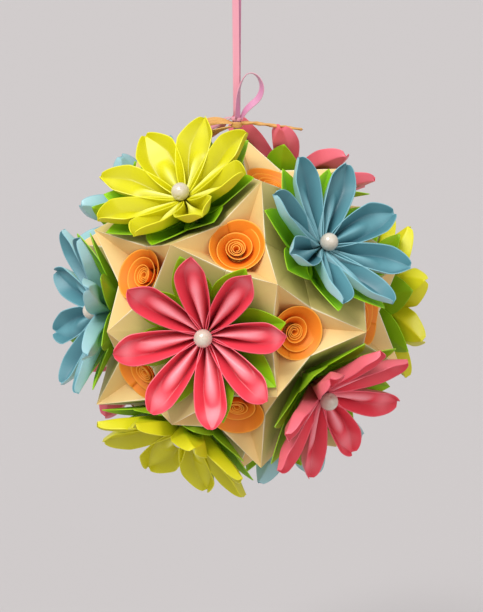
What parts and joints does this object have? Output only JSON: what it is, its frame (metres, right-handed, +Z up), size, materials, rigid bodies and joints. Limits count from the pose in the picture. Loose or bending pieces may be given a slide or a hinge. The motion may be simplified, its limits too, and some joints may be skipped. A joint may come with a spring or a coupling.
{
  "type": "kusudama paper ball",
  "caption": "Hanging ball of folded coloured paper: cream folded units carry rolled roses in their pits and petalled flowers with leaf collars and pearl beads, on a ribbon loop.",
  "frame": {"origin": "inside of the top of the hanging ribbon's loop, where a hook carries it", "axes": "+Z up along the hanging ribbon, -Y towards the viewer who faces the front pink flower, +X to that viewer's right"},
  "size_m": [0.1684, 0.1659, 0.2407],
  "materials": {
    "cream_paper": "matt, pale at the folds",
    "orange_paper": "matt",
    "pink_paper": "matt with a faint sheen",
    "yellow_paper": "matt with a faint sheen",
    "blue_paper": "matt with a faint sheen",
    "green_paper": "matt",
    "pearl": "pearl lustre",
    "satin_ribbon": "satin",
    "raffia": "crinkled, slightly shiny"
  },
  "bodies": {
    "root": {"blue_flower_1": "blue_paper", "blue_flower_2": "blue_paper", "blue_flower_3": "blue_paper", "blue_flower_4": "blue_paper", "blue_leaf_collar_1": "green_paper", "blue_leaf_collar_2": "green_paper", "blue_leaf_collar_3": "green_paper", "blue_leaf_collar_4": "green_paper", "frame_unit_02": "cream_paper", "frame_unit_03": "cream_paper", "frame_unit_04": "cream_paper", "frame_unit_05": "cream_paper", "frame_unit_06": "cream_paper", "frame_unit_07": "cream_paper", "frame_unit_08": "cream_paper", "frame_unit_09": "cream_paper", "frame_unit_10": "cream_paper", "frame_unit_11": "cream_paper", "frame_unit_12": "cream_paper", "frame_unit_13": "cream_paper", "frame_unit_14": "cream_paper", "frame_unit_15": "cream_paper", "frame_unit_16": "cream_paper", "frame_unit_17": "cream_paper", "frame_unit_18": "cream_paper", "frame_unit_19": "cream_paper", "frame_unit_20": "cream_paper", "frame_unit_21": "cream_paper", "frame_unit_22": "cream_paper", "frame_unit_23": "cream_paper", "frame_unit_24": "cream_paper", "frame_unit_25": "cream_paper", "frame_unit_26": "cream_paper", "frame_unit_27": "cream_paper", "frame_unit_28": "cream_paper", "frame_unit_29": "cream_paper", "frame_unit_30": "cream_paper", "hanging_ribbon": "satin_ribbon", "paper_roses": "orange_paper", "pearl_beads": "pearl", "pink_flower_1": "pink_paper", "pink_flower_2": "pink_paper", "pink_flower_3": "pink_paper", "pink_flower_4": "pink_paper", "pink_leaf_collar_1": "green_paper", "pink_leaf_collar_2": "green_paper", "pink_leaf_collar_3": "green_paper", "pink_leaf_collar_4": "green_paper", "raffia_bow": "raffia", "ribbon_bow": "satin_ribbon", "ribbon_knot": "satin_ribbon", "top_frame_unit": "cream_paper", "yellow_flower_1": "yellow_paper", "yellow_flower_2": "yellow_paper", "yellow_flower_3": "yellow_paper", "yellow_flower_4": "yellow_paper", "yellow_leaf_collar_1": "green_paper", "yellow_leaf_collar_2": "green_paper", "yellow_leaf_collar_3": "green_paper", "yellow_leaf_collar_4": "green_paper"}
  },
  "joints": []
}
